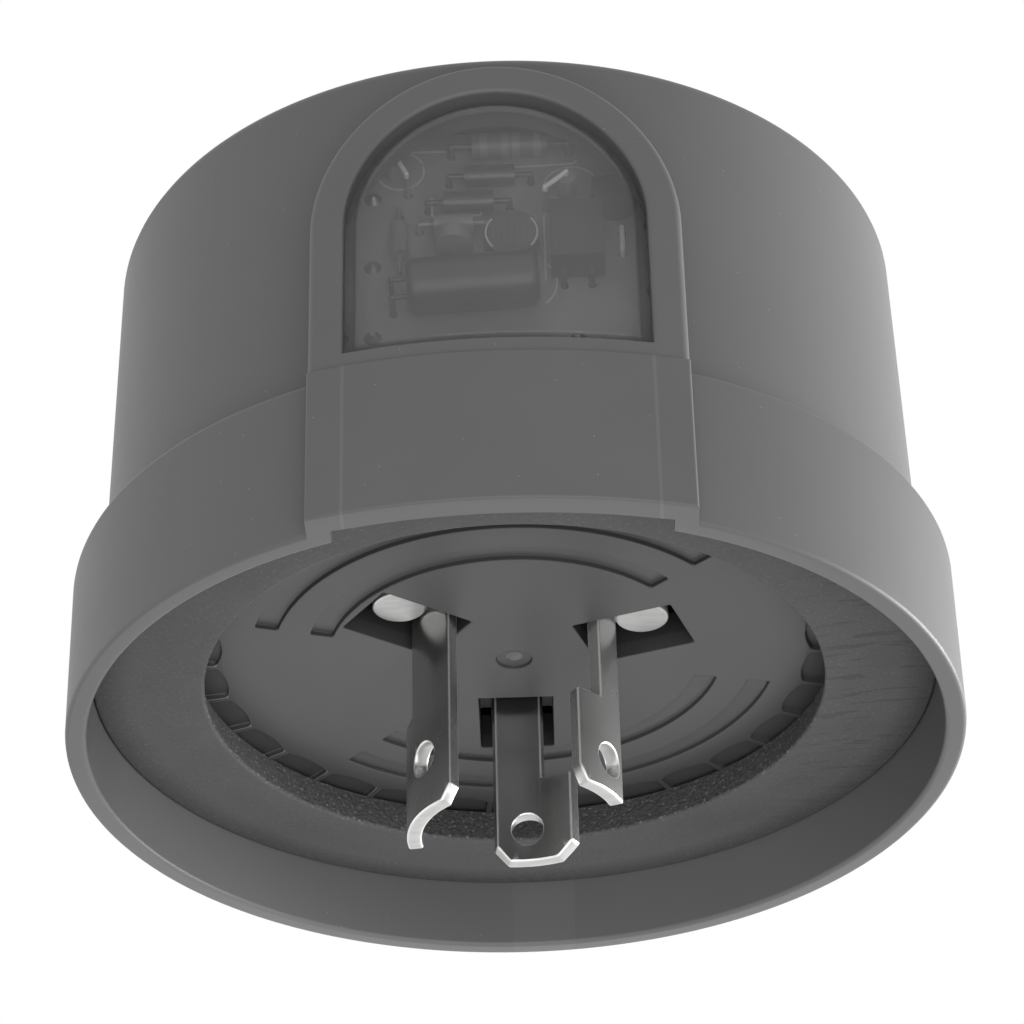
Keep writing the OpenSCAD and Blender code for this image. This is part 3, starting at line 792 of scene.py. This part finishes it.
def board_mask(name, colour):
    """Solder mask, uneven where copper lies under it."""
    finish = material(name)
    mottle = finish.noise(300, 3)
    copper = finish.noise(170, 1, (1, 1, 0.5)).above(0.56)
    mask = finish.blend(copper * 0.5, shade(colour, 0.92), shade(colour, 1.15))
    finish.set(
        Base_Color=finish.blend(mottle * 0.3, mask, shade(colour, 1.2)),
        Roughness=0.35 + 0.15 * mottle,
    )
    return finish.block


def lacquer(name, colour, roughness, metallic=0.0, bare=None):
    """A small part's coat, slightly uneven in tone and gloss, with bare wire painted pale as its glint
    in front of y = bare.
    """
    finish = material(name)
    mottle = finish.noise(700, 4)
    coat = finish.blend(mottle, shade(colour, 0.8), shade(colour, 1.2))
    if bare is not None:
        # bare wire: painted glint, a pale unmetallic coat
        coat = finish.blend(finish.along("Y").below(bare), coat, shade(TINNED_GLINT, 1))
    finish.set(
        Base_Color=coat,
        Metallic=metallic,
        Roughness=roughness - 0.08 + 0.16 * mottle,
        Normal=finish.bump(finish.noise(2200, 2), 0.1, 0.05 * MM),
    )
    return finish.block


def banded(name, colour, places, width):
    """A coat with paler bands round a part that lies along X."""
    finish = material(name)
    along = finish.along("X")
    mottle = finish.noise(700, 4)
    bands = sum(abs(along - middle).below(width / 2) for middle in places)
    finish.set(
        Base_Color=finish.blend(bands * (0.6 + 0.4 * mottle), shade(colour, 1), shade(colour, 1.6)),
        Roughness=0.35 + 0.1 * mottle,
    )
    return finish.block


# Pieces


def arch_loop(half, foot, centre):
    """Points of (x, z) round an arch, starting at its lower left corner."""
    points = [(-half, foot)] + ramp((-half, foot), (half, foot), 24)
    points += ramp((half, foot), (half, centre), 10)
    points += arc((0, centre), half, 0, 180, 64)[1:]
    return points + ramp((-half, centre), (-half, foot), 10)[:-1]


def box_loop(half, foot, head):
    """Points of (x, z) round a rectangle, starting at its lower left corner."""
    points = [(-half, foot)] + ramp((-half, foot), (half, foot), 24)
    points += ramp((half, foot), (half, head), 8) + ramp((half, head), (-half, head), 24)
    return points + ramp((-half, head), (-half, foot), 8)[:-1]


def shrunk(loop, factor, middle):
    """A loop drawn in towards a middle point."""
    return [
        (middle[0] + (x - middle[0]) * factor, middle[1] + (z - middle[1]) * factor)
        for x, z in loop
    ]


def flat_row(loop, y):
    """A loop of (x, z) laid in one plane."""
    return [Vector((x, y, z)) for x, z in loop]


def bowed_row(loop, radius, axis):
    """A loop of (x, z) laid on an upright cylinder whose axis is at y = axis."""
    return [Vector((x, axis - math.sqrt(radius * radius - x * x), z)) for x, z in loop]


def quarter(steps):
    """Pairs of (across, down) over a quarter round of radius 1, from its side to its top."""
    turns = [math.pi / 2 * i / steps for i in range(steps + 1)]
    return [(1 - math.cos(a), 1 - math.sin(a)) for a in turns]


def arch_plug(name, half, foot, centre, radius, axis, start):
    """A solid arch from a flat back to a bowed face."""
    loop = arch_loop(half, foot, centre)
    middle = (0, centre)
    rows = [flat_row(shrunk(loop, 0, middle), start), flat_row(loop, start)]
    rows += [bowed_row(shrunk(loop, f, middle), radius, axis) for f in (1, 0.66, 0.33, 0)]
    return lofted(name, rows)


def box_plug(name, half, foot, head, radius, axis, start, rounding=0.0):
    """A solid block from a flat back to a bowed face, with its front edge rounded."""
    middle = (0, (foot + head) / 2)
    loop = box_loop(half, foot, head)
    rows = [flat_row(shrunk(loop, 0, middle), start), flat_row(loop, start)]
    for across, down in quarter(3) if rounding else [(0, 0)]:
        inset = across * rounding
        loop = box_loop(half - inset, foot + inset, head - inset)
        rows.append(bowed_row(loop, radius - down * rounding, axis))
    rows += [bowed_row(shrunk(loop, f, middle), radius, axis) for f in (0.66, 0.33, 0)]
    return lofted(name, rows)


def boss_axis(s):
    """Where the axis of the boss's curved face lies along Y."""
    return s.boss_radius - s.skirt_radius - s.boss_proud


class PHOTOCELL_OT_cover(bpy.types.Operator):
    """Models the moulded cover with its skirt, body and arched window boss."""

    bl_idname = "photocell.cover"
    bl_label = "Cover"

    def execute(self, context):
        s = context.scene.photocell_cover
        cover = turned("cover_shell", self.outside(s))
        combine(cover, self.window_frame(s), "UNION")
        combine(cover, self.lower_panel(s), "UNION")
        combine(cover, turned("cavity", self.inside(s)), "DIFFERENCE")
        combine(cover, self.hollow(s), "DIFFERENCE")
        combine(cover, self.lens_pocket(s), "DIFFERENCE")
        smooth(cover)
        plastic = moulded_plastic("Moulded grey", s, 0.42, 0.038, cover_light_and_marks)
        fit(cover, plastic, "cover")
        return {"FINISHED"}

    def radii(self, s):
        """Radii of the skirt's inside, and of the body at its foot and head."""
        foot = s.skirt_radius - s.body_step
        return s.skirt_radius - s.skirt_wall, foot, foot - s.body_draft

    def outside(self, s):
        """The outline of the skirt and body, filled in to the axis."""
        rim, top = COVER_LOW.z, COVER_HIGH.z
        inner, foot, head = self.radii(s)
        fillet = s.step_fillet
        outline = [(0, rim), (inner / 2, rim), (inner, rim)]
        outline += arc((s.skirt_radius - s.rim_round, rim + s.rim_round), s.rim_round, 270, 360, 5)
        outline += ramp(outline[-1], (s.skirt_radius, s.skirt_top - s.step_round), 6)
        outline += arc(
            (s.skirt_radius - s.step_round, s.skirt_top - s.step_round), s.step_round, 0, 90, 6
        )
        outline += arc((foot + fillet, s.skirt_top + fillet), fillet, 270, 180, 5)
        outline += ramp(outline[-1], (head, top - s.top_round), 12)
        outline += arc((head - s.top_round, top - s.top_round), s.top_round, 0, 90, 8)
        return outline + ramp(outline[-1], (0, top), 6)

    def inside(self, s):
        """The outline of the room in the cover, from just below the rim up to the ceiling."""
        rim, ceiling = COVER_LOW.z, COVER_HIGH.z - s.body_wall
        inner, foot, head = self.radii(s)
        outline = [(0, MOUTH), (inner + s.rim_round, MOUTH)]
        outline += arc((inner + s.rim_round, rim + s.rim_round), s.rim_round, 270, 180, 5)
        outline += ramp(outline[-1], (inner, s.ledge), 5)
        outline += ramp(outline[-1], (foot - s.body_wall, s.ledge), 2)
        outline += ramp(outline[-1], (head - s.body_wall, ceiling), 10)
        return outline + ramp(outline[-1], (0, ceiling), 4)

    def window_frame(self, s):
        """The boss as a ring round the window, with its outer and inner edges rounded."""
        rim, centre = COVER_LOW.z, s.arch_centre
        axis, start = boss_axis(s), -s.boss_root
        rows = [flat_row(arch_loop(s.boss_half, rim, centre), start)]
        edge = s.boss_round
        for across, down in quarter(4):
            loop = arch_loop(s.boss_half - across * edge, rim + across * edge, centre)
            rows.append(bowed_row(loop, s.boss_radius - down * edge, axis))
        edge = s.window_round
        for across, down in reversed(quarter(4)):
            loop = arch_loop(s.window_half + across * edge, s.sill - across * edge, centre)
            rows.append(bowed_row(loop, s.boss_radius - down * edge, axis))
        rows.append(flat_row(arch_loop(s.window_half, s.sill, centre), start))
        return lofted("window_frame", rows + rows[:1])

    def lower_panel(self, s):
        """The panel below the window, a little proud of the boss."""
        half, face = s.boss_half + s.panel_side, s.boss_radius + s.panel_proud
        foot, head, start = COVER_LOW.z, s.panel_top, -s.boss_root
        return box_plug("lower_panel", half, foot, head, face, boss_axis(s), start, s.panel_round)

    def hollow(self, s):
        """The room in the boss, below the ledge."""
        half, back = s.boss_half - s.boss_side, s.boss_radius - s.boss_wall
        return box_plug("hollow", half, MOUTH, s.ledge, back, boss_axis(s), -s.hollow_root)

    def lens_pocket(self, s):
        """The pocket behind the window that takes the lens."""
        half, back = LENS_HIGH.x + s.lens_play, s.boss_radius - s.boss_wall
        foot, centre, start = LENS_LOW.z, s.arch_centre, -s.hollow_root
        return arch_plug("pocket", half, foot, centre, back, boss_axis(s), start)


class PHOTOCELL_OT_lens(bpy.types.Operator):
    """Models the clear curved lens behind the window's frame."""

    bl_idname = "photocell.lens"
    bl_label = "Lens"

    def execute(self, context):
        s = context.scene.photocell_cover
        axis = boss_axis(s)
        front = s.boss_radius - s.boss_wall - s.lens_gap
        back = front - s.lens_thickness
        face = front + s.pane_rise
        half = s.window_half - s.pane_gap
        foot = s.sill + s.pane_gap
        middle = (0, s.arch_centre)
        loop = arch_loop(LENS_HIGH.x, LENS_LOW.z, s.arch_centre)
        rows = [bowed_row(shrunk(loop, f, middle), back, axis) for f in (0, 0.25, 0.5, 0.75, 1)]
        rows.append(bowed_row(loop, front, axis))
        rows.append(bowed_row(arch_loop(half, foot, s.arch_centre), front, axis))
        for across, down in quarter(4):
            inset = across * s.pane_round
            loop = arch_loop(half - inset, foot + inset, s.arch_centre)
            rows.append(bowed_row(loop, face - down * s.pane_round, axis))
        rows += [bowed_row(shrunk(loop, f, middle), face, axis) for f in (0.75, 0.5, 0.25, 0)]
        lens = lofted("window_pane", rows)
        smooth(lens)
        fit(lens, clear_plastic("Clear haze", s.lens_colour), "window_lens")
        return {"FINISHED"}


class PHOTOCELL_OT_base(bpy.types.Operator):
    """Makes the base's pockets shallower and rounds its edges."""

    bl_idname = "photocell.base"
    bl_label = "Base"

    def execute(self, context):
        s = context.scene.photocell_base
        base = copied("base_plate", "pocketed_base")
        floor, near = BASE_LOW.z + s.pocket_cut, 0.05 * MM
        for vertex in base.data.vertices:
            if abs(vertex.co.z - floor) < near and vertex.co.xy.length > s.pocket_radius:
                vertex.co.z = BASE_LOW.z + s.pocket_depth
        soften(base, s.edge_round, 2)
        smooth(base)
        plastic = moulded_plastic("Moulded base", s, 0.44, 0.02, base_painted_light)
        fit(base, plastic, "base_plate")
        return {"FINISHED"}


class PHOTOCELL_OT_gasket(bpy.types.Operator):
    """Models the foam sealing ring."""

    bl_idname = "photocell.gasket"
    bl_label = "Gasket"

    def execute(self, context):
        s = context.scene.photocell_base
        lip = s.foam_bore - s.lip_lean
        outer, low, high = FOAM_HIGH.x + s.foam_swell, FOAM_LOW.z, FOAM_HIGH.z
        edge = s.foam_round
        profile = arc((lip + edge, low + edge), edge, 170, 276, 5)
        profile += ramp(profile[-1], (s.seal_radius, 0), 6)
        profile += ramp(profile[-1], (outer - edge, 0), 5)
        profile += arc((outer - edge, edge), edge, 270, 360, 4)
        profile += ramp(profile[-1], (outer, high), 3)
        profile += ramp(profile[-1], (s.foam_bore, high), 3)
        profile += ramp(profile[-1], profile[0], 4)
        ring = turned("foam_ring", profile)
        smooth(ring)
        fit(ring, foam_rubber("Foam", s.foam_colour), "gasket")
        return {"FINISHED"}


class PHOTOCELL_OT_blades(bpy.types.Operator):
    """Models the three stamped blades with their lugs."""

    bl_idname = "photocell.blades"
    bl_label = "Blades"

    def execute(self, context):
        s = context.scene.photocell_base
        metal = plated_metal("Plated metal", s.blade_colour)
        for node in BLADES:
            blade = joined(node + "_stamping", [self.plate(s, node)] + self.root(s, node))
            smooth(blade)
            fit(blade, metal, node)
        return {"FINISHED"}

    def plate(self, s, node):
        """The curved blade, stamped flat with its hole and corner cuts and then rolled."""
        blade = BLADES[node]
        thick = s.blade_thickness
        middle = s.blade_radius - thick / 2
        tip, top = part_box(node)[0].z, s.lug_foot + thick
        turns = (blade.wide_start, blade.root_start, blade.end, blade.hole_turn)
        first, neck, last, hole = (math.radians(turn) * middle for turn in turns)
        outline = [(first, -s.notch_drop)]
        for side, edge, cut in ((1, first, blade.start_cut), (-1, last, blade.end_cut)):
            corner = [(edge, tip)]
            if cut:
                corner = [(edge, tip + cut[1]), (edge + side * cut[0], tip)]
            outline += corner[::side]
        outline += [(last, top), (neck, top), (neck, -s.notch_drop)]
        plate = slab(node, [Vector((x, 0, z)) for x, z in outline], Vector((0, thick, 0)))
        centre = (hole, thick / 2, -blade.hole_drop)
        punch = drum("punch", s.blade_hole, centre, 4 * thick, 48, math.pi / 2)
        combine(plate, punch, "DIFFERENCE")
        soften(plate, s.blade_round, 3)
        return rolled(plate, s.blade_radius - thick, middle, blade.wide_start, blade.end)

    def root(self, s, node):
        """The round lug at the blade's root and the strip that folds up from it over the bridge."""
        slot, thick = BLADES[node].slot_turn, s.blade_thickness
        half, top, high = s.lug_foot + thick / 2, s.lug_foot + thick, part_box(node)[1].z
        way = Vector((math.cos(math.radians(slot)), math.sin(math.radians(slot)), 0))
        centre = way * s.lug_place + Vector((0, 0, half))
        lug = drum("lug", s.lug_radius, centre, thick, 64)
        soften(lug, s.blade_round, 3)
        near = s.blade_radius - thick / 2
        far = s.lug_place + s.lug_radius - s.strip_inset
        strip = s.strip_thickness
        return [
            lug,
            bar("neck", slot, near, s.lug_place, s.neck_width, half, top),
            bar("riser", slot, far - strip, far, s.strip_width, half, high),
            bar("fold", slot, far - s.strip_fold, far, s.strip_width, high - strip, high),
        ]


# The grey and the roughness of each small part's coat
COATS = {
    "photo_sensor": (0.075, 0.45),
    "smoothing_capacitor": (0.035, 0.35),
    "opto_coupler": (0.03, 0.5),
    "rectifier_diodes": (0.05, 0.22),
    "delay_capacitor": (0.2, 0.4),
    "zener_diode": (0.15, 0.3),
    "switching_transistor": (0.03, 0.5),
    "relay": (0.1, 0.4),
    "dropper_capacitor": (0.3, 0.4),
    "surge_varistor": (0.12, 0.4),
    "neutral_wire": (0.6, 0.4),
    "line_wire": (0.03, 0.4),
    "load_wire": (0.2, 0.4),
}
RESISTOR_GREY = (0.25, 0.25, 0.25)
BANDED_GREY = (0.13, 0.13, 0.13)
SOLDER_GREY = (0.25, 0.25, 0.25)
# Where the bands round the dropper resistor lie along X, and how wide they are
BAND_PLACES = [x * MM for x in (-1.1, 0.9, 1.9, 3.9)]
BAND_WIDTH = 0.7 * MM


class PHOTOCELL_OT_board(bpy.types.Operator):
    """Finishes the circuit board and the parts that it carries."""

    bl_idname = "photocell.board"
    bl_label = "Board and parts"

    def printed_marks(self, s):
        """Plain outlines printed on the board round its parts.

        Their places are millimetres across the board and up from its lower edge."""
        rings = [
            arc((-8.95, 30), 2.2, 20, 375, 48),
            arc((6.9, 27.2), 2.6, 15, 190, 30),
            arc((2.2, 16.4), 3.1, -48, 42, 20),
        ]
        lines = [
            [(-2.6, 29.5), (1.6, 29.5)],
            [(-6.04, 26.7), (-6.04, 24.6), (-5.9, 24.5), (-1.6, 24.5), (-1.5, 24.6), (-1.5, 25.2)],
            [(4.3, 24.2), (4.3, 16.6)],
            [(-2.2, 29.9), (7.2, 30.2), (7.5, 30.6)],
            [(-7.86, 32.2), (-4.63, 32.2)],
        ]
        root, face = BOARD_LOW.y + s.print_root, BOARD_LOW.y - s.print_height
        marks = []
        for outline in rings + lines:
            path = [(x * MM, BOARD_LOW.z + height * MM) for x, height in outline]
            marks.append(ribbon("mark", path, s.print_width, root, face))
        return joined("board_print", marks)

    def cell_track(self, s):
        """The wound track and rim on the face of the light cell."""
        middle = (SENSOR_LOW + SENSOR_HIGH) / 2
        radius = (SENSOR_HIGH.x - SENSOR_LOW.x) / 2
        runs, pitch, reach = 7, radius * 0.22, 0.62
        rim_radius, rim_half = radius * 0.93, 42
        depth = (SENSOR_LOW.y + s.print_root, SENSOR_LOW.y - s.print_height)
        path = []
        for i in range(runs):
            x = (i - runs // 2) * pitch
            tall = reach * math.sqrt(radius * radius - x * x)
            ends = [(middle.x + x, middle.z - tall), (middle.x + x, middle.z + tall)]
            path += ends if i % 2 else ends[::-1]
        track = ribbon("cell_track", path, s.track_width, *depth)
        rims = []
        for turn in (0, 180):
            path = arc((middle.x, middle.z), rim_radius, turn - rim_half, turn + rim_half, 16)
            rims.append(ribbon("rim", path, s.track_width, *depth))
        return track, joined("cell_rim", rims)

    def execute(self, context):
        s = context.scene.photocell_board
        ink = lacquer("Print", s.print_colour, 0.6)
        fit(self.printed_marks(s), ink)
        track, rim = self.cell_track(s)
        fit(track, lacquer("Cell track", s.track_colour, 0.5))
        fit(rim, ink)
        repaint("circuit_board", board_mask("Board mask", s.colour))
        for node, (grey, roughness) in COATS.items():
            repaint(node, lacquer(node + "_coat", (grey, grey, grey), roughness))
        # the resistors' bare leads get the pale coat that paints their glint
        bare = BOARD_LOW.y - s.standing_height
        repaint("bias_resistors", lacquer("resistor_coat", RESISTOR_GREY, 0.4, bare=bare))
        repaint("dropper_resistor", banded("banded_coat", BANDED_GREY, BAND_PLACES, BAND_WIDTH))
        # painted glint: the jumper is a pale unmetallic coat, not reflecting metal
        repaint("jumper_wire", lacquer("jumper_tinned_glint", TINNED_GLINT, 0.3))
        repaint("solder_joints", lacquer("solder_metal", SOLDER_GREY, 0.4, metallic=1.0))
        return {"FINISHED"}


class PHOTOCELL_OT_stage(bpy.types.Operator):
    """Sets up the floor, the lights and the camera."""

    bl_idname = "photocell.stage"
    bl_label = "Stage"

    def execute(self, context):
        s = context.scene.photocell_stage
        self.lay_floor(context, s)
        self.light(context, s)
        self.stand_camera(context)
        context.scene.view_settings.view_transform = "Standard"
        return {"FINISHED"}

    def lay_floor(self, context, s):
        """A pale floor far below the part."""
        clear_selection()
        bpy.ops.mesh.primitive_plane_add(size=s.floor_size, location=(0, 0, -s.floor_drop))
        floor = called("floor", context.object)
        bpy.ops.object.transform_apply(location=True, rotation=True, scale=True)
        paper = material("Paper")
        paper.set(Base_Color=shade(s.floor_colour, 0.85), Roughness=0.9)
        paper.seen_plain("ShaderNodeEmission", shade(s.floor_colour, 1))
        floor.data.materials.append(paper.block)

    def light(self, context, s):
        """Soft light from all round, and four broad lamps that face the middle of the part."""
        context.scene.world = bpy.data.worlds.new("Studio")
        studio = Finish(context.scene.world, "Background", "World Output")
        studio.set(Color=(1, 1, 1, 1), Strength=s.soft_light)
        studio.seen_plain("ShaderNodeBackground", shade(s.floor_colour, 1))
        target = Vector((0, 0, 15 * MM))
        for name, spot, size, energy in (
            ("front_light", (0.06, -0.34, -0.24), 0.3, s.front_power),
            ("back_light", (0.1, 0.6, -0.36), 1.0, s.back_power),
            ("right_light", (0.45, 0.15, 0.0), 0.3, s.right_power),
            ("left_light", (-0.45, 0.15, 0.0), 0.3, s.left_power),
        ):
            lamp = bpy.data.lights.new(name, "AREA")
            lamp.energy = energy
            lamp.size = size
            holder = bpy.data.objects.new(name, lamp)
            context.scene.collection.objects.link(holder)
            turn = (target - Vector(spot)).to_track_quat("-Z", "Y")
            holder.matrix_world = Matrix.Translation(spot) @ turn.to_matrix().to_4x4()

    def stand_camera(self, context):
        """The camera, low in front of the window."""
        optics = bpy.data.cameras.new("camera")
        optics.sensor_width = 36
        optics.lens = CAMERA_FOCAL_LENGTH
        optics.clip_start = 0.01
        optics.clip_end = 20
        camera = bpy.data.objects.new("camera", optics)
        context.scene.collection.objects.link(camera)
        camera.location = CAMERA_PLACE
        camera.rotation_euler = CAMERA_TURN
        context.scene.camera = camera


class PHOTOCELL_PT_sidebar(bpy.types.Panel):
    """Lists the pieces and their settings."""

    bl_idname = "PHOTOCELL_PT_sidebar"
    bl_label = "Photocell switch"
    bl_space_type = "VIEW_3D"
    bl_region_type = "UI"
    bl_category = "Photocell"

    def draw(self, context):
        for operator in PIECES:
            self.layout.operator(operator.bl_idname)
        for group in GROUPS:
            settings = getattr(context.scene, GROUPS[group])
            box = self.layout.box()
            for key in group.__annotations__:
                box.prop(settings, key)


GROUPS = {
    CoverSettings: "photocell_cover",
    BaseSettings: "photocell_base",
    BoardSettings: "photocell_board",
    StageSettings: "photocell_stage",
}
PIECES = (
    PHOTOCELL_OT_cover,
    PHOTOCELL_OT_lens,
    PHOTOCELL_OT_base,
    PHOTOCELL_OT_gasket,
    PHOTOCELL_OT_blades,
    PHOTOCELL_OT_board,
    PHOTOCELL_OT_stage,
)


def register():
    """Makes the settings, operators and panel known to Blender."""
    for group, key in GROUPS.items():
        bpy.utils.register_class(group)
        setattr(bpy.types.Scene, key, bpy.props.PointerProperty(type=group))
    for operator in PIECES:
        bpy.utils.register_class(operator)
    bpy.utils.register_class(PHOTOCELL_PT_sidebar)


def unregister():
    """Takes the settings, operators and panel away again."""
    bpy.utils.unregister_class(PHOTOCELL_PT_sidebar)
    for operator in reversed(PIECES):
        bpy.utils.unregister_class(operator)
    for group, key in GROUPS.items():
        delattr(bpy.types.Scene, key)
        bpy.utils.unregister_class(group)


def main():
    """Builds every piece."""
    register()
    bpy.ops.photocell.cover()
    bpy.ops.photocell.lens()
    bpy.ops.photocell.base()
    bpy.ops.photocell.gasket()
    bpy.ops.photocell.blades()
    bpy.ops.photocell.board()
    bpy.ops.photocell.stage()


if __name__ == "__main__":
    main()
